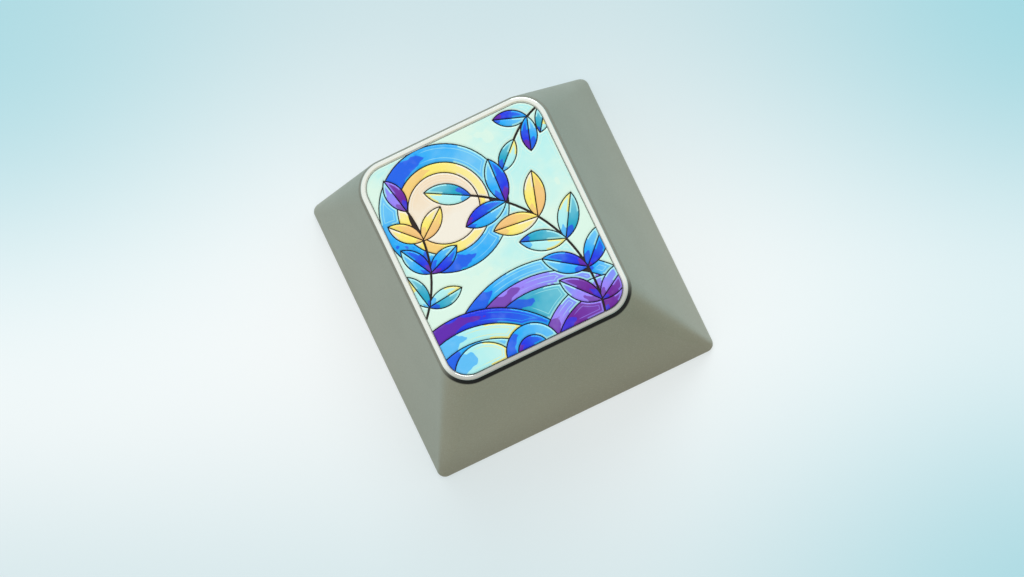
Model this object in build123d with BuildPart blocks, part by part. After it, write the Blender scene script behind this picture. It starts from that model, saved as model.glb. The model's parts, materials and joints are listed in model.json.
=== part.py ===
from build123d import *
import os
from math import cos, radians, sin, sqrt

# Artisan keycap for a one-unit key, in millimetres.
# A die-cast metal cap carries a bright badge plate on top, inlaid with enamel, and a moulded stem insert below.
# The origin is where the stem axis meets the desk, +Z is up and -Y is the side that faces the typist.

# Cap body
base_side = 18.1
base_corner = 0.5
foot_band = 0.3
body_height = 9.1
wall = 1.3
hollow_corner = 0.6
recess_floor = 1.2
foot_chamfer = 0.12

# Badge plate
plate_width = 11.88
plate_depth = 14.04
plate_corner = 1.65
plate_shift = 1.26
flange_height = 0.5
flange_flare = 0.18
rim_width = 0.25
rim_step = 0.2
rim_chamfer = 0.05
spigot_inset = 1.0
spigot_height = 0.6
spigot_corner = 1.0
spigot_clearance = 0.05

# Enamel inlay
line_width = 0.07
enamel_thickness = 0.12
narrowest_cell = 0.07
grid_columns = 12
grid_rows = 14

# Stem boss and stem insert
insert_diameter = 5.5
insert_clearance = 0.05
insert_setback = 0.9
insert_lead = 0.25
boss_wall = 1.1
boss_length = 2.8
cross_arm_length = 4.1
cross_side_arm_width = 1.32
cross_front_arm_width = 1.17
cross_depth = 4.2
cross_lead = 0.2

# Places worked out from the sizes above
land_width = plate_width + 2 * flange_flare
land_depth = plate_depth + 2 * flange_flare
land_corner = plate_corner + flange_flare
rim_top = body_height + flange_height
field_top = rim_top - rim_step
field_width = plate_width - 2 * rim_width
field_depth = plate_depth - 2 * rim_width
field_corner = plate_corner - rim_width
grid_x = field_width / grid_columns
grid_y = field_depth / grid_rows
motif_step = min(grid_x, grid_y)
recess_depth = spigot_height + spigot_clearance
ceiling = body_height - recess_depth - recess_floor
land_plane = Plane((0, plate_shift, body_height))
rim_plane = Plane((0, plate_shift, rim_top))
field_plane = Plane((0, plate_shift, field_top))
ceiling_plane = Plane.XY.offset(ceiling)


def skirt_at(height):
    """Width, depth and backward shift of the cap's outside at a height above the desk."""
    share = max(0, height - foot_band) / (body_height - foot_band)
    width = base_side + (land_width - base_side) * share
    depth = base_side + (land_depth - base_side) * share
    return width, depth, plate_shift * share


def soft_rectangle(width, depth, corner):
    """A rectangle with rounded corners drawn as cubic curves, since a loft between these stays light."""
    pull = corner * (7 - 4 * sqrt(2)) / 3
    with BuildSketch() as outline:
        with BuildLine():
            for side_x, side_y in ((1, 1), (-1, 1), (-1, -1), (1, -1)):
                x = side_x * width / 2
                y = side_y * depth / 2
                points = [
                    (x - side_x * corner, y),
                    (x - side_x * pull, y),
                    (x, y - side_y * pull),
                    (x, y - side_y * corner),
                ]
                # Every corner runs the same way round the outline
                Bezier(*points[:: side_x * side_y])
            for side in (1, -1):
                Line((width / 2 - corner, side * depth / 2), (corner - width / 2, side * depth / 2))
                Line((side * width / 2, depth / 2 - corner), (side * width / 2, corner - depth / 2))
        make_face()
    return outline.sketch


# Artwork: each shape is a function that gives its outline, grown by a margin
def disc(x, y, radius):
    """A round field."""

    def outline(margin):
        with BuildSketch() as shape:
            with Locations((x, y)):
                Circle(radius + margin)
        return shape.sketch

    return outline


def stem(x, y, radius, start, sweep):
    """A curved stem with no width of its own, which stays a bare line."""

    def outline(margin):
        with BuildSketch() as shape:
            with BuildLine():
                CenterArc((x, y), radius, start, sweep)
            trace(line_width=2 * margin)
        return shape.sketch

    return outline


def half_leaf(x, y, angle, length, width, side):
    """One half of a pointed leaf that starts at a point and lies along an angle. The side is 1 or -1."""
    arc_radius = (length**2 + width**2) / (4 * width)
    arc_reach = arc_radius - width / 2
    middle = Location((x + length / 2 * cos(radians(angle)), y + length / 2 * sin(radians(angle))), angle)
    half = (Align.CENTER, Align.MIN if side > 0 else Align.MAX)

    def outline(margin):
        with BuildSketch() as shape:
            with Locations(middle):
                with Locations((0, -arc_reach)):
                    Circle(arc_radius + margin)
                with Locations((0, arc_reach)):
                    Circle(arc_radius + margin, mode=Mode.INTERSECT)
                with Locations((0, side * (line_width / 2 - margin))):
                    Rectangle(2 * length, width, align=half, mode=Mode.INTERSECT)
        return shape.sketch

    return outline


# Layout, in steps of a grid over the field. Lengths and radii take the shorter of its two steps.
def sprig(x, y, radius, start, step, spread, length, width, colours):
    """Pairs of leaves along a stem that is an arc about a point, with a single leaf at the tip."""
    shapes = []
    centre_x = x * grid_x
    centre_y = y * grid_y
    reach = radius * motif_step
    leaf = (length * motif_step, width * motif_step)
    tip = len(colours) - 1
    for number, (light, dark) in enumerate(colours):
        turn = start + number * step
        foot_x = centre_x + reach * cos(radians(turn))
        foot_y = centre_y + reach * sin(radians(turn))
        heading = turn + 90
        for angle in (heading,) if number == tip else (heading + spread, heading - spread):
            shapes.append((light, half_leaf(foot_x, foot_y, angle, *leaf, 1)))
            shapes.append((dark, half_leaf(foot_x, foot_y, angle, *leaf, -1)))
    shapes.append((None, stem(centre_x, centre_y, reach, start - 2 * step, (tip + 2) * step)))
    return shapes


def nest(x, y, *rings):
    """Discs about one point, given from the inside out as radius and colour."""
    return [(colour, disc(x * grid_x, y * grid_y, radius * motif_step)) for radius, colour in rings]


# Front to back
blue_leaf = ("sky_blue", "cobalt")
sea_leaf = ("pale_aqua", "turquoise")
gold_leaf = ("yellow", "apricot")
plum_leaf = ("lilac", "violet")
right_leaves = [plum_leaf, blue_leaf, sea_leaf, gold_leaf, blue_leaf, sea_leaf]
left_leaves = [sea_leaf, blue_leaf, gold_leaf, plum_leaf]
top_leaves = [sea_leaf, blue_leaf, sea_leaf]
artwork = [
    *sprig(-4.6, -4.8, 9.1, -9, 14, 50, 2.85, 1.25, right_leaves),
    *sprig(-11.6, 2.3, 7.6, -36, 16, 48, 2.3, 1.05, left_leaves),
    *sprig(7.4, 1.2, 5.3, 98, 18, 46, 2.1, 0.95, top_leaves),
    *nest(-2, 3, (2.2, "ivory"), (2.85, "yellow"), (4, "sky_blue")),
    *nest(-0.75, -7.25, (0.95, "cobalt"), (1.7, "sky_blue")),
    *nest(-4, -7.35, (2, "pale_aqua")),
    *nest(4.2, -9.7, (4.1, "violet"), (4.95, "lilac")),
    *nest(-4.4, -9.9, (4.75, "sky_blue"), (5.7, "pale_aqua"), (6.65, "cobalt")),
    *nest(0.4, -9.5, (5.7, "turquoise"), (6.55, "lilac"), (7.4, "sky_blue")),
    *nest(0, 0, (grid_rows, "mint")),
]


def cell_faces(outline, free):
    """Faces of one shape that lie on the free field, without those too narrow to fill."""
    faces = (outline(0) & free).faces()
    return [face for face in faces if 2 * face.area / face.outer_wire().length > narrowest_cell]


def inlay_cells():
    """Enamel cells of each colour, with dark lines left bare between them. Each shape takes what is still free."""
    found = {}
    with BuildSketch() as field:
        RectangleRounded(field_width - 2 * line_width, field_depth - 2 * line_width, field_corner - line_width)
        for colour, outline in artwork:
            if colour:
                found.setdefault(colour, []).extend(cell_faces(outline, field.sketch))
            add(outline(line_width), mode=Mode.SUBTRACT)
    return found


cells = inlay_cells()

# Cap body: a lofted skirt with a hollow below, a recess for the plate above and a boss for the stem insert
mouth_side = base_side - 2 * wall
roof_width, roof_depth, roof_shift = skirt_at(ceiling)
roof_width -= 2 * wall
roof_depth -= 2 * wall
with BuildPart() as hollow:
    with Locations((-mouth_side / 2, mouth_side / 2, 0)):
        Wedge(
            mouth_side,
            ceiling,
            mouth_side,
            (mouth_side - roof_width) / 2,
            (mouth_side - roof_depth) / 2 - roof_shift,
            (mouth_side + roof_width) / 2,
            (mouth_side + roof_depth) / 2 - roof_shift,
            rotation=(90, 0, 0),
            align=None,
        )
    fillet(hollow.edges().filter_by(lambda edge: abs(edge.tangent_at(0).Z) > 0.5), hollow_corner)

with BuildPart() as cap_body:
    with BuildSketch(Plane.XY.offset(foot_band)):
        add(soft_rectangle(base_side, base_side, base_corner))
    with BuildSketch(land_plane):
        add(soft_rectangle(land_width, land_depth, land_corner))
    loft()
    with BuildSketch(Plane.XY):
        add(soft_rectangle(base_side, base_side, base_corner))
    extrude(amount=foot_band)
    chamfer(cap_body.edges().group_by(Axis.Z)[0], foot_chamfer)
    with BuildSketch(land_plane):
        RectangleRounded(
            land_width - 2 * spigot_inset + 2 * spigot_clearance,
            land_depth - 2 * spigot_inset + 2 * spigot_clearance,
            spigot_corner + spigot_clearance,
        )
    extrude(amount=-recess_depth, mode=Mode.SUBTRACT)
    add(hollow.part, mode=Mode.SUBTRACT)
    bore_radius = insert_diameter / 2 + insert_clearance
    with BuildSketch(ceiling_plane):
        Circle(bore_radius + boss_wall)
        Circle(bore_radius, mode=Mode.SUBTRACT)
    extrude(amount=-boss_length)
cap_body.part.label = "cap_body"

# Badge plate: a flange with a flared side, a locating spigot below and a sunk field inside a raised rim
with BuildPart() as badge_plate:
    with BuildSketch(land_plane):
        RectangleRounded(land_width, land_depth, land_corner)
    with BuildSketch(rim_plane):
        RectangleRounded(plate_width, plate_depth, plate_corner)
    loft()
    chamfer(badge_plate.edges().group_by(Axis.Z)[-1], rim_chamfer)
    with BuildSketch(rim_plane):
        RectangleRounded(field_width, field_depth, field_corner)
    extrude(amount=-rim_step, mode=Mode.SUBTRACT)
    with BuildSketch(land_plane):
        RectangleRounded(land_width - 2 * spigot_inset, land_depth - 2 * spigot_inset, spigot_corner)
    extrude(amount=-spigot_height)
badge_plate.part.label = "badge_plate"

# Stem insert: a round post with the cross-shaped socket that grips the switch's stem
with BuildPart() as stem_insert:
    with BuildSketch(ceiling_plane):
        Circle(insert_diameter / 2)
    extrude(amount=insert_setback - ceiling)
    chamfer(stem_insert.edges().group_by(Axis.Z)[0], insert_lead)
    with BuildSketch(Plane.XY.offset(insert_setback)):
        Rectangle(cross_arm_length, cross_side_arm_width)
        Rectangle(cross_front_arm_width, cross_arm_length)
    extrude(amount=cross_depth, mode=Mode.SUBTRACT)
    mouth_edges = stem_insert.edges().group_by(Axis.Z)[0]
    chamfer(mouth_edges.filter_by(GeomType.LINE), cross_lead)
stem_insert.part.label = "stem_insert"

os.makedirs("parts", exist_ok=True)
for piece in (cap_body, badge_plate, stem_insert):
    export_step(piece.part, f"parts/{piece.part.label}.step")

# Enamel: one node for each colour, a group of separate thin fields that lie on the plate's sunk floor
for colour, colour_cells in cells.items():
    with BuildPart() as enamel:
        with BuildSketch(field_plane):
            add(colour_cells)
        extrude(amount=enamel_thickness)
    enamel.part.label = f"enamel_{colour}"
    export_step(enamel.part, f"parts/{enamel.part.label}.step")
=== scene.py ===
"""Looks of the artisan keycap: a blasted metal cap, a bright badge plate and glossy enamel fields."""

import json
import math

import bmesh
import bpy
import numpy as np
from mathutils import Matrix, Vector
from mathutils.geometry import delaunay_2d_cdt


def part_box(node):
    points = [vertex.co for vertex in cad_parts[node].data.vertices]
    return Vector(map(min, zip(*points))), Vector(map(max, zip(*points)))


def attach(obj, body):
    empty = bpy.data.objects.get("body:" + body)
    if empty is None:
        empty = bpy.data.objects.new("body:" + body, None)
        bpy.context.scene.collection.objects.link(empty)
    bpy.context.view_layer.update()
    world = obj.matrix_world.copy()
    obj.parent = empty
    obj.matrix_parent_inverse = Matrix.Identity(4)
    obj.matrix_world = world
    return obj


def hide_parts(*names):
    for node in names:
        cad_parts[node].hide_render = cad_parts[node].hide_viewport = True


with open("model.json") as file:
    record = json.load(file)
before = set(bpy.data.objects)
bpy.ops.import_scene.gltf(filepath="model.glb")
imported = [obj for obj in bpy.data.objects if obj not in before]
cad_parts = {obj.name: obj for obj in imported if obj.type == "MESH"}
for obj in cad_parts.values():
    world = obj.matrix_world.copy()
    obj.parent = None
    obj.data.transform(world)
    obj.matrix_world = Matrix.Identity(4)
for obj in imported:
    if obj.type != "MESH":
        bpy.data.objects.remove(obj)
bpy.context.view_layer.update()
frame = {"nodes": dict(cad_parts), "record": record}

# Sizes in metres, read from the frame where it holds them
MM = 0.001
cap_low, cap_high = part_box("cap_body")
plate_low, plate_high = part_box("badge_plate")
insert_low, insert_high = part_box("stem_insert")
foot_side = cap_high.x - cap_low.x
body_height = cap_high.z
land_width = plate_high.x - plate_low.x
land_depth = plate_high.y - plate_low.y
plate_shift = (plate_high.y + plate_low.y) / 2
rim_top = plate_high.z
spigot_foot = plate_low.z
ceiling = insert_high.z
insert_width = insert_high.x - insert_low.x

# Cap body
foot_corner = 0.5 * MM
foot_band = 0.3 * MM
land_corner = 1.83 * MM
wall = 1.3 * MM
hollow_corner = 0.6 * MM
boss_wall = 1.1 * MM
boss_foot = 4.45 * MM
insert_clearance = 0.05 * MM
spigot_clearance = 0.05 * MM

# Roundings of the cap's edges
land_edge = 0.03 * MM
band_edge = 0.1 * MM
foot_edge = 0.13 * MM
mouth_edge = 0.1 * MM
ceiling_edge = 0.25 * MM
boss_root = 0.2 * MM
boss_edge = 0.12 * MM

# Badge plate
flange_flare = 0.18 * MM
rim_width = 0.25 * MM
rim_step = 0.2 * MM
rim_inner_edge = 0.08 * MM
rim_outer_edge = 0.06 * MM
ground_fade = 0.06 * MM
spigot_inset = 1.0 * MM
spigot_corner = 1.0 * MM
side_bright_share = 0.13
side_dark_share = 0.16

# The plate's front, where shade is painted on its metal and on the wall below it, ends past the front corners
front_margin = 0.6 * MM
front_line = plate_low.y + front_margin
corner_turn = 1.3 * MM

# Enamel fields, worked out in millimetres
edge_step = 0.1
field_step = 0.16
edge_insets = (0.02, 0.05, 0.09, 0.16, 0.22, 0.28)
inset_slack = 0.9
widest_leaf = 0.3
edge_drop = 0.045
edge_softness = 0.09
bright_direction = (0.45, 0.9)

# Meshes: how fine they are, what counts as one place or as flat, and where shading breaks
corner_points = 17
rounding_steps = 5
merge_distance = 0.0002 * MM
flat_band = 0.01 * MM
facing_up = 0.9
inside_only = 1
merge_limit = 1e-6
matching_digits = 5
loft_crease = math.radians(35)
field_crease = math.radians(38)


# Node trees
class Nodes:
    """A node tree that is being built, for a finish, the world or Geometry Nodes."""

    def __init__(self, tree):
        self.tree = tree

    @staticmethod
    def pick(sockets, key):
        """A socket by its number, or the first one in use that has the name."""
        if isinstance(key, int):
            return sockets[key]
        return next(socket for socket in sockets if socket.name == key and socket.enabled)

    def feed(self, socket, value):
        """Links a socket or gives it a value."""
        if isinstance(value, Socket):
            self.tree.links.new(value.socket, socket)
        else:
            socket.default_value = value

    def node(self, kind, settings=None, inputs=None, output=None):
        """Adds a node of any type: its settings first, then the values or links of its sockets."""
        node = self.tree.nodes.new(kind)
        for name, value in (settings or {}).items():
            setattr(node, name, value)
        for key, value in (inputs or {}).items():
            self.feed(self.pick(node.inputs, key), value)
        in_use = [socket for socket in node.outputs if socket.enabled]
        if not in_use:
            return None
        return Socket(self, in_use[0] if output is None else self.pick(node.outputs, output))

    def maths(self, operation, *values):
        """A Math node on numbers or sockets."""
        return self.node("ShaderNodeMath", {"operation": operation}, dict(enumerate(values)))

    def fade(self, value, start, end):
        """A smooth rise from 0 at the start to 1 at the end."""
        settings = {"interpolation_type": "SMOOTHSTEP"}
        return self.node("ShaderNodeMapRange", settings, {"Value": value, "From Min": start, "From Max": end})

    def coordinate(self, vector, axis):
        """The X, Y or Z of a vector."""
        return self.node("ShaderNodeSeparateXYZ", None, {"Vector": vector}, axis)

    def mix(self, factor, first, second):
        """A colour between two others."""
        return self.node("ShaderNodeMix", {"data_type": "RGBA"}, {"Factor": factor, "A": first, "B": second})

    def shown(self):
        """1 for the rays that show the background: from the camera, or by way of gloss or glass."""
        rays = [
            self.node("ShaderNodeLightPath", output=name)
            for name in ("Is Camera Ray", "Is Glossy Ray", "Is Transmission Ray")
        ]
        return self.maths("MAXIMUM", rays[0], self.maths("MAXIMUM", rays[1], rays[2]))


class Socket:
    """An output socket. Arithmetic on it adds Math nodes."""

    def __init__(self, nodes, socket):
        self.nodes = nodes
        self.socket = socket

    def __add__(self, other):
        return self.nodes.maths("ADD", self, other)

    def __radd__(self, other):
        return self.nodes.maths("ADD", other, self)

    def __sub__(self, other):
        return self.nodes.maths("SUBTRACT", self, other)

    def __rsub__(self, other):
        return self.nodes.maths("SUBTRACT", other, self)

    def __mul__(self, other):
        return self.nodes.maths("MULTIPLY", self, other)

    def __rmul__(self, other):
        return self.nodes.maths("MULTIPLY", other, self)

    def __truediv__(self, other):
        return self.nodes.maths("DIVIDE", self, other)

    def __floordiv__(self, other):
        return self.nodes.maths("FLOOR", self / other)


class Finish(Nodes):
    """A material with one Principled shader."""

    def __init__(self, name):
        self.material = bpy.data.materials.new(name)
        self.material.use_nodes = True
        super().__init__(self.material.node_tree)
        self.shader = self.tree.nodes["Principled BSDF"]
        self.place = self.node("ShaderNodeTexCoord", output="Object")

    def surface(self, **inputs):
        """Sets the shader's sockets, whose names have underscores here in place of spaces."""
        for name, value in inputs.items():
            self.feed(self.shader.inputs[name.replace("_", " ")], value)
        return self.material

    def noise(self, size, detail=2.0):
        """Noise between 0 and 1 whose features are about the given size."""
        inputs = {"Vector": self.place, "Scale": 1 / size, "Detail": detail}
        return self.node("ShaderNodeTexNoise", None, inputs)

    def attribute(self, name):
        """A number that the mesh carries."""
        return self.node("ShaderNodeAttribute", {"attribute_name": name}, output="Fac")

    def bump(self, height, distance):
        """A normal for a relief of the given depth."""
        return self.node("ShaderNodeBump", None, {"Height": height, "Distance": distance})

    def to_back(self):
        """0 along the plate's front edge, rising to 1 past its front corners."""
        return self.fade(self.coordinate(self.place, "Y"), front_line, front_line + corner_turn)


def rgba(red, green, blue):
    """A colour in linear light, with its alpha."""
    return (red, green, blue, 1)


# Blasted zinc of the cap: tones, then the size, range and share of each effect
zinc_deep = rgba(0.32, 0.344, 0.285)
zinc_pale = rgba(0.34, 0.364, 0.305)
zinc_rubbed = rgba(0.46, 0.48, 0.42)
# The grain's tone: lighter on its peaks as painted glints and darker in its pits as painted shade
zinc_peak_glint = rgba(0.62, 0.65, 0.58)
zinc_pit_shade = rgba(0.12, 0.125, 0.1)
# Painted shade: the walls that face the front are painted browner and darker, more on the right and near the
# foot
front_shade_left = rgba(0.325, 0.32, 0.245)
front_shade_right = rgba(0.285, 0.28, 0.207)
front_shade_low = rgba(0.25, 0.248, 0.19)
# Painted shadow along the top of the wall just below the plate's edge, strongest at the front
under_plate_shadow_black = rgba(0.02, 0.02, 0.015)
cloud_size = 3.5 * MM
cloud_detail = 4
cloud_range = (0.3, 0.7)
rub_size = 2.2 * MM
rub_range = (0.3, 0.8)
rub_share = 0.1
grain_size = 0.09 * MM
grain_depth = 0.014 * MM
peak_glint_range = (0.5, 0.75)
peak_glint_share = 0.09
pit_shade_range = (0.25, 0.5)
pit_shade_share = 0.12
# Range, lean to the right and low part of the painted shade on the front
front_shade_range = (0.03, 0.5)
front_shade_lean = 0.22
front_shade_low_height = 3.5 * MM
front_shade_low_share = 0.6
under_plate_shadow_height = 0.14 * MM
under_plate_shadow_loss = 0.85
zinc_metallic = 0.55
zinc_gloss = 0.2
zinc_roughness = 0.46
cloud_roughness = 0.08
grain_roughness = 0.08
rub_polish = 0.06


def blasted_zinc():
    """Grey-olive die-cast metal: a fine matte grain with painted glints on its peaks and painted shade in its
    pits, rubbed arrises, painted shade on the walls that face the front and a painted shadow below the
    plate's edge.
    """
    finish = Finish("blasted_zinc")
    clouds = finish.noise(cloud_size, cloud_detail)
    grain = finish.noise(grain_size)
    rubbed = finish.attribute("arris") * finish.fade(finish.noise(rub_size), *rub_range)
    height = finish.coordinate(finish.place, "Z")
    to_right = finish.fade(finish.coordinate(finish.place, "X"), cap_low.x, cap_high.x)
    to_foot = 1 - finish.fade(height, 0, front_shade_low_height)
    outside = 1 - finish.attribute("shade")
    # Painted shadow just below the plate's edge, fading towards the back
    under_plate_shadow = finish.fade(height, body_height - under_plate_shadow_height, body_height) * (1 - under_plate_shadow_loss * finish.to_back())
    # Painted shade on the outside walls that face the front, leaning to the right and deepest near the foot
    front_shade = finish.fade(finish.attribute("front") - front_shade_lean * to_right, *front_shade_range) * outside
    front_shaded = finish.mix(to_right, front_shade_left, front_shade_right)
    front_shaded = finish.mix(to_foot * front_shade_low_share, front_shaded, front_shade_low)
    metal = finish.mix(finish.fade(clouds, *cloud_range), zinc_deep, zinc_pale)
    metal = finish.mix(rubbed * rub_share, metal, zinc_rubbed)
    metal = finish.mix(front_shade, metal, front_shaded)
    # Painted glints on the grain's peaks and painted shade in its pits, following the bump's noise
    metal = finish.mix(finish.fade(grain, *peak_glint_range) * peak_glint_share, metal, zinc_peak_glint)
    metal = finish.mix((1 - finish.fade(grain, *pit_shade_range)) * pit_shade_share, metal, zinc_pit_shade)
    metal = finish.mix(under_plate_shadow, metal, under_plate_shadow_black)
    return finish.surface(
        Base_Color=metal,
        Metallic=zinc_metallic,
        Roughness=zinc_roughness + cloud_roughness * clouds + grain_roughness * grain - rub_polish * rubbed,
        Specular_IOR_Level=zinc_gloss,
        Normal=finish.bump(grain, grain_depth),
    )


# Nickel of the plate
# Painted shade: the nickel is darker along the plate's front
nickel_front_shaded = rgba(0.52, 0.525, 0.48)
nickel_back = rgba(0.85, 0.87, 0.8)
# Painted shade and dark reflection: the plate's side is black along the front, greyer towards the back
side_front_shade = rgba(0.005, 0.005, 0.003)
side_back = rgba(0.24, 0.245, 0.2)
ground_brown = rgba(0.036, 0.027, 0.026)
haze_size = 0.8 * MM
haze_detail = 3
nickel_gloss = 0.06
nickel_roughness = 0.1
haze_roughness = 0.06
dull_roughness = 0.4


def plated_plate():
    """Polished nickel on the rim with painted shade along the front, dark ground between the fields, and a
    dark side painted black along the front as shade and dark reflection.
    """
    finish = Finish("plated_plate")
    ground = finish.attribute("ground")
    side = finish.attribute("shade")
    haze = finish.noise(haze_size, haze_detail)
    to_back = finish.to_back()
    nickel = finish.mix(to_back, nickel_front_shaded, nickel_back)
    # Painted shade and dark reflection on the plate's side, black at the front
    side_shade_tone = finish.mix(to_back, side_front_shade, side_back)
    metal = finish.mix(ground, nickel, ground_brown)
    return finish.surface(
        Base_Color=finish.mix(side, metal, side_shade_tone),
        Metallic=1 - ground - side,
        Roughness=nickel_roughness + haze_roughness * haze + dull_roughness * ground + dull_roughness * side,
        Specular_IOR_Level=nickel_gloss,
    )


# Plastic of the stem insert
plastic_black = rgba(0.028, 0.028, 0.031)
skin_size = 0.25 * MM
skin_depth = 0.004 * MM
plastic_roughness = 0.42
skin_roughness = 0.12


def moulded_plastic():
    """Black moulded plastic with a faint orange-peel skin."""
    finish = Finish("moulded_plastic")
    skin = finish.noise(skin_size)
    return finish.surface(
        Base_Color=plastic_black,
        Roughness=plastic_roughness + skin_roughness * skin,
        Normal=finish.bump(skin, skin_depth),
    )


# For each enamel colour: the tone it runs into and how far, the tone of its deep end and of its bright edge
enamel_tones = {
    "ivory": ("apricot", 0.4, "ivory", "ivory"),
    "mint": ("pale_aqua", 0.8, "mint", "mint"),
    "pale_aqua": ("mint", 0.4, "sky_blue", "yellow"),
    "turquoise": ("pale_aqua", 0.35, "cobalt", "pale_aqua"),
    "sky_blue": ("pale_aqua", 0.35, "cobalt", "pale_aqua"),
    "cobalt": ("sky_blue", 0.3, "violet", "sky_blue"),
    "lilac": ("sky_blue", 0.35, "violet", "pale_aqua"),
    "violet": ("lilac", 0.15, "cobalt", "lilac"),
    "yellow": ("ivory", 0.3, "apricot", "ivory"),
    "apricot": ("yellow", 0.3, "apricot", "yellow"),
}
slot_colours = {material["slot"]: rgba(*material["base_color"]) for material in frame["record"]["materials"]}

# Enamel: ranges along a field are shares of its length, and widths at its edge are in millimetres
drift_size = 0.9 * MM
drift_middle = 0.5
run_range = (0.25, 0.95)
run_drift = 0.6
deep_range = (0.16, 0.19)
deep_drift = 0.5
deep_curve = 0.5
deep_share = 0.75
bright_range = (0.6, 0.63)
bright_drift = 0.4
bright_width = (0.075, 0.095)
bright_share = 0.85
echo_inset = 0.22
echo_width = (0.012, 0.03)
echo_range = (0.3, 0.55)
echo_share = 0.55
pale_tone = rgba(0.88, 0.95, 0.96)
pale_size = 0.7 * MM
pale_range = (0.5, 0.75)
pale_share = 0.04
enamel_roughness = 0.32
enamel_gloss = 0.16
coat_share = 0.14
coat_roughness = 0.08


def enamel(colour):
    """Glossy enamel: a field runs from one tone to another, with a deep end, a bright edge and its echo."""
    finish = Finish(f"enamel_{colour}")
    run_tone, run_share, deep_tone, edge_tone = enamel_tones[colour]
    along = finish.attribute("along")
    edge = finish.attribute("edge")
    wide = finish.attribute("wide")
    drift = finish.noise(drift_size) - drift_middle
    run = finish.fade(along + drift * run_drift, *run_range)
    tone = finish.mix(run * run_share, slot_colours[colour], slot_colours[run_tone])
    deep_end = 1 - finish.fade(along + drift * deep_drift - edge * deep_curve, *deep_range)
    tone = finish.mix(deep_end * deep_share, tone, slot_colours[deep_tone])
    bright_end = finish.fade(along + drift * bright_drift, *bright_range)
    bright_edge = (1 - finish.fade(edge, *bright_width)) * bright_end
    tone = finish.mix(bright_edge * bright_share, tone, slot_colours[edge_tone])
    echo_line = (1 - finish.fade(finish.maths("ABSOLUTE", edge - echo_inset), *echo_width)) * wide
    echo_line = echo_line * finish.fade(along + drift * run_drift, *echo_range)
    tone = finish.mix(echo_line * echo_share, tone, slot_colours[edge_tone])
    pale = finish.fade(finish.noise(pale_size), *pale_range)
    tone = finish.mix(pale * pale_share, tone, pale_tone)
    return finish.surface(
        Base_Color=tone,
        Roughness=enamel_roughness,
        Specular_IOR_Level=enamel_gloss,
        Coat_Weight=coat_share,
        Coat_Roughness=coat_roughness,
    )


# Lofted pieces: a profile is a row of stations, each a rounded outline at its own height
station_values = ("width", "depth", "corner", "shift", "height", "ground", "shade")


def station(width, depth, corner, shift, height, ground=0.0, shade=0.0):
    """One outline. Ground marks the plate's dark floor, and shade its dark side or the inside of the cap."""
    return np.array((width, depth, corner, shift, height, ground, shade))


def changed(outline, **values):
    """A copy of an outline with other values."""
    copy = outline.copy()
    for name, value in values.items():
        copy[station_values.index(name)] = value
    return copy


def inset(outline, distance):
    """An outline drawn in by a distance all round."""
    return outline - distance * station(2, 2, 1, 0, 0)


def closed(outline):
    """An outline drawn in to a point, which closes the skin."""
    return changed(outline, width=0, depth=0, corner=0)


def ring(width, height):
    """A round outline about the stem's axis, inside the cap."""
    return station(width, width, width / 2, 0, height, shade=1)


def reach(first, second):
    """How far apart two stations lie, as seen in the middle of a side."""
    width, _, _, _, height, *_ = second - first
    return math.hypot(width / 2, height)


def soften(keys):
    """The stations of a profile whose keys are pairs of a station and the radius that rounds it."""
    profile = []
    for number, (key, radius) in enumerate(keys):
        if not radius:
            profile.append(key)
            continue
        before = keys[number - 1][0]
        after = keys[number + 1][0]
        start = key + (before - key) * radius / reach(key, before)
        end = key + (after - key) * radius / reach(key, after)
        for step in range(rounding_steps + 1):
            share = step / rounding_steps
            profile.append(start * (1 - share) ** 2 + 2 * key * share * (1 - share) + end * share**2)
    return profile


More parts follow.
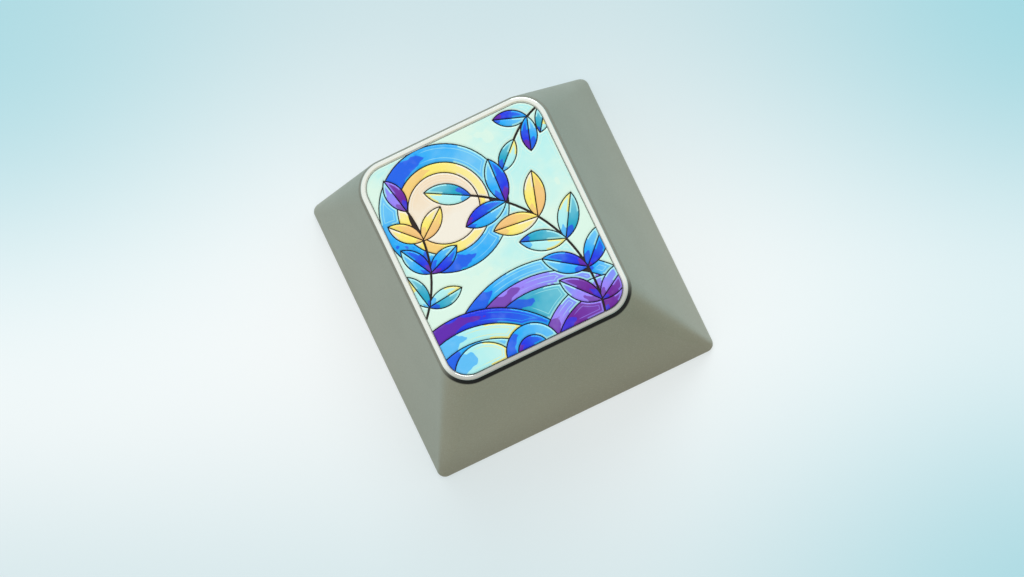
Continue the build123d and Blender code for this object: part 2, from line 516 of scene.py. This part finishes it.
def loft_tree():
    """Geometry Nodes that loft a skin through rounded outlines, one for each vertex of the object's mesh."""
    group = bpy.data.node_groups.new("loft_of_outlines", "GeometryNodeTree")
    group.interface.new_socket("Stations", in_out="INPUT", socket_type="NodeSocketGeometry")
    group.interface.new_socket("Points per corner", in_out="INPUT", socket_type="NodeSocketInt")
    group.interface.new_socket("Finish", in_out="INPUT", socket_type="NodeSocketMaterial")
    group.interface.new_socket("Skin", in_out="OUTPUT", socket_type="NodeSocketGeometry")
    tree = Nodes(group)
    stations = tree.node("NodeGroupInput", output="Stations")
    points = tree.node("NodeGroupInput", output="Points per corner")
    finish = tree.node("NodeGroupInput", output="Finish")
    numbers = {"data_type": "FLOAT", "domain": "POINT"}

    # A sheet with one row for each station and one column for each point of the outline, closed on itself
    mesh_size = {"component": "MESH"}
    rows = tree.node("GeometryNodeAttributeDomainSize", mesh_size, {"Geometry": stations}, "Point Count")
    columns = points * 4
    sheet = tree.node("GeometryNodeMeshGrid", None, {"Vertices X": rows, "Vertices Y": columns + 1})

    # Half is added before a number is rounded down, so that a whole number stays what it is
    half = 0.5
    index = tree.node("GeometryNodeInputIndex")
    row = (index + half) // (columns + 1)
    column = index - row * (columns + 1)
    column = column - columns * ((column + half) // columns)

    def value(name):
        """A value of the station that a point of the sheet belongs to."""
        stored = tree.node("GeometryNodeInputNamedAttribute", {"data_type": "FLOAT"}, {"Name": name})
        inputs = {"Geometry": stations, "Value": stored, "Index": row}
        return tree.node("GeometryNodeSampleIndex", numbers, inputs)

    # Each corner takes a quarter of the columns and a quarter turn
    quarter = math.pi / 2
    corner = (column + half) // points
    share = (column - corner * points) / (points - 1)
    turn = (corner + share) * quarter
    middle = (corner + half) * quarter
    side_x = tree.maths("SIGN", tree.maths("COSINE", middle))
    side_y = tree.maths("SIGN", tree.maths("SINE", middle))
    radius = value("corner")
    x = side_x * (value("width") / 2 - radius) + radius * tree.maths("COSINE", turn)
    y = side_y * (value("depth") / 2 - radius) + radius * tree.maths("SINE", turn) + value("shift")
    place = tree.node("ShaderNodeCombineXYZ", None, {"X": x, "Y": y, "Z": value("height")})

    # Marks for the finish: how near the middle of an arris, how far to the front, on the ground, in shade
    marks = {
        "arris": 1 - tree.maths("ABSOLUTE", share * 2 - 1),
        "front": 0 - tree.maths("SINE", turn),
        "ground": value("ground"),
        "shade": value("shade"),
    }
    skin = sheet
    for name, mark in marks.items():
        inputs = {"Geometry": skin, "Name": name, "Value": mark}
        skin = tree.node("GeometryNodeStoreNamedAttribute", numbers, inputs)
    skin = tree.node("GeometryNodeSetPosition", None, {"Geometry": skin, "Position": place})
    skin = tree.node("GeometryNodeMergeByDistance", None, {"Geometry": skin, "Distance": merge_distance})
    crease = tree.maths("GREATER_THAN", tree.node("GeometryNodeInputMeshEdgeAngle"), loft_crease)
    skin = tree.node("GeometryNodeSetShadeSmooth", {"domain": "EDGE"}, {0: skin, 1: crease, 2: False})
    skin = tree.node("GeometryNodeRealizeInstances", None, {"Geometry": skin})
    skin = tree.node("GeometryNodeSetMaterial", None, {"Geometry": skin, "Material": finish})
    tree.node("NodeGroupOutput", None, {"Skin": skin})
    return group


def add_object(name, data):
    """Adds an object to the scene."""
    piece = bpy.data.objects.new(name, data)
    bpy.context.scene.collection.objects.link(piece)
    return piece


def keep_result(piece):
    """Turns a piece with modifiers into a plain mesh."""
    source = piece.data
    evaluated = piece.evaluated_get(bpy.context.evaluated_depsgraph_get())
    piece.data = bpy.data.meshes.new_from_object(evaluated)
    piece.modifiers.clear()
    bpy.data.meshes.remove(source)


def lofted(name, keys, tree, finish):
    """A closed piece lofted through the stations of a softened profile."""
    profile = soften(keys)
    mesh = bpy.data.meshes.new(name)
    mesh.vertices.add(len(profile))
    for number, value_name in enumerate(station_values):
        stored = mesh.attributes.new(value_name, "FLOAT", "POINT")
        stored.data.foreach_set("value", [row[number] for row in profile])
    piece = add_object(name, mesh)
    loft = piece.modifiers.new("loft", "NODES")
    loft.node_group = tree
    settings = {"Points per corner": corner_points, "Finish": finish}
    for item in tree.interface.items_tree:
        if item.name in settings:
            loft[item.identifier] = settings[item.name]
    even = piece.modifiers.new("even shading", "WEIGHTED_NORMAL")
    even.keep_sharp = True
    keep_result(piece)
    return piece


def dress(piece, node):
    """The piece takes the place of a CAD node and moves with the object's one body."""
    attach(piece, "root")
    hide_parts(node)


def build_cap_shell(tree):
    """The cap: recess, land, four sloping walls, foot, hollow and boss, in one skin."""
    land = station(land_width, land_depth, land_corner, plate_shift, body_height)
    recess = changed(inset(land, spigot_inset - spigot_clearance), corner=spigot_corner + spigot_clearance)
    recess_floor = changed(recess, height=spigot_foot - spigot_clearance)
    band = station(foot_side, foot_side, foot_corner, 0, foot_band)
    foot = changed(band, height=0)
    mouth = changed(inset(foot, wall), corner=hollow_corner, shade=1)
    wall_at_ceiling = band + (land - band) * (ceiling - foot_band) / (body_height - foot_band)
    roof = changed(inset(wall_at_ceiling, wall), corner=hollow_corner, height=ceiling, shade=1)
    bore = insert_width + 2 * insert_clearance
    boss = bore + 2 * boss_wall
    keys = [
        (closed(recess_floor), 0),
        (recess_floor, 0),
        (recess, 0),
        (land, land_edge),
        (band, band_edge),
        (foot, foot_edge),
        (mouth, mouth_edge),
        (roof, ceiling_edge),
        (ring(boss, ceiling), boss_root),
        (ring(boss, boss_foot), boss_edge),
        (ring(bore, boss_foot), boss_edge),
        (ring(bore, ceiling), 0),
        (ring(0, ceiling), 0),
    ]
    dress(lofted("cap_shell", keys, tree, blasted_zinc()), "cap_body")


def build_badge_plate(tree):
    """The plate: sunk dark ground, bright rim, flared dark side and the spigot below."""
    land = station(land_width, land_depth, land_corner, plate_shift, body_height, shade=1)
    rim = changed(inset(land, flange_flare), height=rim_top, shade=0)
    rim_inside = inset(rim, rim_width)
    rim_foot = changed(rim_inside, height=rim_top - rim_step)
    ground = changed(inset(rim_foot, ground_fade), ground=1)
    spigot = changed(inset(land, spigot_inset), corner=spigot_corner)
    spigot_end = changed(spigot, height=spigot_foot)
    keys = [
        (closed(ground), 0),
        (ground, 0),
        (rim_foot, 0),
        (rim_inside, rim_inner_edge),
        (rim, rim_outer_edge),
        (changed(rim + (land - rim) * side_bright_share, shade=0), 0),
        (changed(rim + (land - rim) * side_dark_share, shade=1), 0),
        (land, land_edge),
        (spigot, 0),
        (spigot_end, 0),
        (closed(spigot_end), 0),
    ]
    dress(lofted("inlaid_plate", keys, tree, plated_plate()), "badge_plate")


# Enamel fields: the flat cells of a CAD node, meshed again with rounded edges
def top_cells(mesh):
    """The flat cells on top of a node, each as a list of closed loops of points in millimetres."""
    work = bmesh.new()
    work.from_mesh(mesh)
    bmesh.ops.remove_doubles(work, verts=work.verts, dist=merge_distance)
    work.normal_update()
    top = max(vertex.co.z for vertex in work.verts) - flat_band
    flat = [face for face in work.faces if face.normal.z > facing_up and face.verts[0].co.z > top]
    waiting = set(flat)
    cells = []
    for start in flat:
        if start not in waiting:
            continue
        waiting.discard(start)
        cell = [start]
        # The list grows while it is walked, until it holds the whole cell
        for face in cell:
            for other in (other for edge in face.edges for other in edge.link_faces if other in waiting):
                waiting.discard(other)
                cell.append(other)
        cells.append(cell_loops(cell))
    work.free()
    return cells


def cell_loops(cell):
    """Boundary loops of a group of faces, in the direction of their faces."""
    members = set(cell)
    following = {}
    for face in cell:
        for corner in face.loops:
            if not any(other in members for other in corner.edge.link_faces if other is not face):
                following[corner.vert] = corner.link_loop_next.vert
    loops = []
    while following:
        start, vertex = following.popitem()
        loop = [start.co]
        while vertex is not start:
            loop.append(vertex.co)
            vertex = following.pop(vertex)
        loops.append(np.array([(point.x / MM, point.y / MM) for point in loop]))
    return loops


def divided(loop):
    """A loop with points added, so that none of its steps is long."""
    points = []
    for start, end in zip(loop, np.roll(loop, -1, axis=0)):
        count = max(1, math.ceil(np.linalg.norm(end - start) / edge_step))
        points += [start + (end - start) * number / count for number in range(count)]
    return np.array(points)


def edge_distance(points, loops):
    """Distance of each point from the nearest of the loops."""
    nearest = np.full(len(points), np.inf)
    for loop in loops:
        for start, end in zip(loop, np.roll(loop, -1, axis=0)):
            along = end - start
            share = np.clip((points - start) @ along / (along @ along), 0, 1)
            nearest = np.minimum(nearest, np.linalg.norm(points - start - share[:, None] * along, axis=1))
    return nearest


def inside(points, loops):
    """Which points lie inside the outer loop and outside the holes."""
    crossings = np.zeros(len(points), int)
    for loop in loops:
        for start, end in zip(loop, np.roll(loop, -1, axis=0)):
            spans = (start[1] > points[:, 1]) != (end[1] > points[:, 1])
            if start[1] != end[1]:
                x = start[0] + (points[:, 1] - start[1]) / (end[1] - start[1]) * (end[0] - start[0])
                crossings += spans & (points[:, 0] < x)
    return crossings % 2 == 1


def even_spread(low, high):
    """Points in staggered rows over a rectangle."""
    columns = np.arange(low[0], high[0], field_step)
    rows = np.arange(low[1], high[1], field_step * math.sqrt(3) / 2)
    return np.array([(x + (row % 2) * field_step / 2, y) for row, y in enumerate(rows) for x in columns])


def filling_points(loops, fine):
    """Points inside a cell: rows that follow its edge, then an even spread."""
    rows = []
    for distance in edge_insets:
        for loop in fine:
            along = np.roll(loop, -1, axis=0) - np.roll(loop, 1, axis=0)
            inward = np.column_stack((-along[:, 1], along[:, 0]))
            points = loop + distance * inward / np.linalg.norm(inward, axis=1)[:, None]
            rows.append(points[edge_distance(points, loops) > inset_slack * distance])
    corners = np.vstack(loops)
    spread = even_spread(np.min(corners, axis=0), np.max(corners, axis=0))
    rows.append(spread[edge_distance(spread, loops) > edge_insets[-1] + field_step / 3])
    points = np.vstack(rows)
    return points[inside(points, loops)]


def triangles(loops, points):
    """Triangles that fill the loops, as points and triples of point numbers."""
    edges = []
    start = 0
    for loop in loops:
        edges += [(start + number, start + (number + 1) % len(loop)) for number in range(len(loop))]
        start += len(loop)
    everything = [Vector(point) for point in np.vstack((*loops, points))]
    found, _, faces, *_ = delaunay_2d_cdt(everything, edges, [], inside_only, merge_limit)
    found = np.array([tuple(point) for point in found])
    faces = np.array([tuple(face) for face in faces])
    return found, faces[inside(found[faces].mean(axis=1), loops)]


def matching_place(point):
    """A point rounded, so that the same point of two triangulations can be found."""
    return tuple(np.round(point, matching_digits))


def field_mesh(loops, floor, top):
    """One enamel field and its marks: a top that rounds down to its edge, upright sides and an underside."""
    fine = [divided(loop) for loop in loops]
    points, faces = triangles(fine, filling_points(loops, fine))
    distance = edge_distance(points, loops)
    height = top - edge_drop * (1 - np.clip(distance / edge_softness, 0, 1)) ** 2
    centred = points - points.mean(axis=0)
    axis = np.linalg.svd(centred, full_matrices=False)[2][0]
    along = centred @ axis * np.sign(axis @ bright_direction)
    along = (along - along.min()) / (along.max() - along.min())
    vertices = np.column_stack((points, height))
    marks = np.column_stack((along, distance, np.full(len(points), float(distance.max() > widest_leaf))))

    # The sides run down from the edges that only one triangle has
    corners = np.vstack([faces[:, (0, 1)], faces[:, (1, 2)], faces[:, (2, 0)]])
    inner = {tuple(edge) for edge in corners.tolist()}
    rim = [edge for edge in inner if edge[::-1] not in inner]
    lower = {number: len(vertices) + place for place, number in enumerate(sorted({edge[0] for edge in rim}))}
    kept = list(lower)
    vertices = np.vstack((vertices, np.column_stack((points[kept], np.full(len(kept), floor)))))
    marks = np.vstack((marks, marks[kept]))
    polygons = [tuple(face) for face in faces.tolist()]
    polygons += [(second, first, lower[first], lower[second]) for first, second in rim]
    number_at = {matching_place(points[number]): place for number, place in lower.items()}
    under, under_faces = triangles(fine, np.empty((0, 2)))
    under_number = [number_at[matching_place(point)] for point in under]
    polygons += [tuple(under_number[corner] for corner in face[::-1]) for face in under_faces]
    return vertices, marks, polygons


def build_enamel(colour):
    """All fields of one colour, as one piece in the place of its CAD node."""
    node = f"enamel_{colour}"
    low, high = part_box(node)
    vertices = []
    marks = []
    polygons = []
    for loops in top_cells(frame["nodes"][node].data):
        start = sum(map(len, vertices))
        places, cell_marks, cell_polygons = field_mesh(loops, low.z / MM, high.z / MM)
        vertices.append(places)
        marks.append(cell_marks)
        polygons += [tuple(start + corner for corner in polygon) for polygon in cell_polygons]
    mesh = bpy.data.meshes.new(f"{colour}_fields")
    mesh.from_pydata((np.vstack(vertices) * MM).tolist(), [], polygons)
    for name, values in zip(("along", "edge", "wide"), np.vstack(marks).T):
        mesh.attributes.new(name, "FLOAT", "POINT").data.foreach_set("value", values)
    mesh.shade_smooth()
    mesh.set_sharp_from_angle(angle=field_crease)
    mesh.materials.append(enamel(colour))
    dress(add_object(f"{colour}_fields", mesh), node)


def build_stem_insert():
    """The insert keeps its CAD mesh and gets the plastic's finish."""
    mesh = frame["nodes"]["stem_insert"].data
    mesh.materials.clear()
    mesh.materials.append(moulded_plastic())


# Camera: almost straight down, a little from the typist's side, with the key turned in the picture
view_distance = 0.6
nearest_shown = 0.01
view_lean = math.radians(8)
view_roll = math.radians(25.65)
sensor = 36.0

# The picture in pixels: its width, its scale, and how far to the right and up the middle of the foot lies
image_width = 1024
pixels_per_metre = 16790
centre_offset = (1.2, 10.5)

back = Vector((0, -math.sin(view_lean), math.cos(view_lean)))
away = Vector((0, math.cos(view_lean), math.sin(view_lean)))
across = Vector((1, 0, 0))
right = across * math.cos(view_roll) - away * math.sin(view_roll)
up = across * math.sin(view_roll) + away * math.cos(view_roll)


def build_camera():
    """A camera whose picture has the given scale at the floor."""
    data = bpy.data.cameras.new("camera")
    data.sensor_width = sensor
    data.lens = sensor * pixels_per_metre * view_distance / image_width
    data.clip_start = nearest_shown
    camera = add_object("camera", data)
    aim = -(right * centre_offset[0] + up * centre_offset[1]) / pixels_per_metre
    turn = Matrix((right, up, back)).transposed().to_4x4()
    camera.matrix_world = Matrix.Translation(aim + back * view_distance) @ turn
    bpy.context.scene.camera = camera


# Floor: tones of the paper, and where they change along the picture, in millimetres from the object's middle
paper_white = rgba(0.92, 0.955, 0.965)
paper_blue = rgba(0.6, 0.75, 0.79)
paper_aqua = rgba(0.33, 0.66, 0.74)
top_range = (-1, 19)
bottom_range = (2, 22)
bottom_share = 0.8
right_range = (4, 34)
right_share = 0.38
right_blue_share = 0.55
left_range = (6, 34)
left_rise = (-12, 14)
left_share = 0.7
paper_roughness = 0.9
paper_gloss = 0.1
paper_glow = 0.6


def floor_paper():
    """Matte paper, white in a broad band across the picture and aqua towards its top, bottom and sides."""
    finish = Finish("floor_paper")

    def along(direction):
        """Distance along a direction in the picture, in millimetres on the floor."""
        flat = Vector((direction.x, direction.y, 0)).normalized()
        inputs = {0: finish.place, 1: flat}
        return finish.node("ShaderNodeVectorMath", {"operation": "DOT_PRODUCT"}, inputs, "Value") / MM

    to_right = along(right)
    to_top = along(up)
    blue = finish.fade(to_top, *top_range) + bottom_share * finish.fade(0 - to_top, *bottom_range)
    right_side = finish.fade(to_right, *right_range) * (right_share + right_blue_share * blue)
    left_side = finish.fade(0 - to_right, *left_range) * finish.fade(to_top, *left_rise) * left_share
    paper = finish.mix(blue, paper_white, paper_blue)
    paper = finish.mix(right_side + left_side, paper, paper_aqua)
    finish.surface(Base_Color=paper, Roughness=paper_roughness, Specular_IOR_Level=paper_gloss)

    # Part of what is seen is the paper's own colour, which keeps its shadows light
    glow = finish.node("ShaderNodeEmission", None, {"Color": paper})
    lit = Socket(finish, finish.shader.outputs["BSDF"])
    surface = finish.node("ShaderNodeMixShader", None, {0: paper_glow * finish.shown(), 1: lit, 2: glow})
    finish.feed(finish.tree.nodes["Material Output"].inputs["Surface"], surface)
    return finish.material


# Stage: a wide floor, a pale sky that is warmer and darker at the front, and one softbox above and behind
floor_half = 1.2
sky_front = rgba(0.74, 0.65, 0.52)
sky_back = rgba(0.97, 0.99, 1.0)
sky_range = (-0.9, 0.1)
sky_strength = 0.96
sky_shown_extra = 0.04
softbox_size = 0.35
softbox_power = 1.3
softbox_place = Vector((0.2, 0.4, 0.45))


def build_stage():
    """The floor, the sky and the softbox."""
    corners = [(x * floor_half, y * floor_half, 0) for x, y in ((-1, -1), (1, -1), (1, 1), (-1, 1))]
    mesh = bpy.data.meshes.new("floor")
    mesh.from_pydata(corners, [], [(0, 1, 2, 3)])
    mesh.materials.append(floor_paper())
    add_object("floor", mesh)

    world = bpy.data.worlds.new("studio")
    bpy.context.scene.world = world
    world.use_nodes = True
    tree = Nodes(world.node_tree)
    direction = tree.node("ShaderNodeTexCoord", output="Generated")
    tint = tree.mix(tree.fade(tree.coordinate(direction, "Y"), *sky_range), sky_front, sky_back)
    strength = sky_strength + sky_shown_extra * tree.shown()
    sky = tree.node("ShaderNodeBackground", None, {"Color": tint, "Strength": strength})
    tree.feed(world.node_tree.nodes["World Output"].inputs["Surface"], sky)

    softbox = bpy.data.lights.new("softbox", "AREA")
    softbox.shape = "DISK"
    softbox.size = softbox_size
    softbox.energy = softbox_power
    lamp = add_object("softbox", softbox)
    lamp.location = softbox_place
    lamp.rotation_euler = (-softbox_place).to_track_quat("-Z", "Y").to_euler()


# The object, then the camera and the stage
outline_loft = loft_tree()
build_cap_shell(outline_loft)
build_badge_plate(outline_loft)
build_stem_insert()
for colour in enamel_tones:
    build_enamel(colour)
build_camera()
build_stage()
bpy.context.scene.view_settings.view_transform = "Standard"
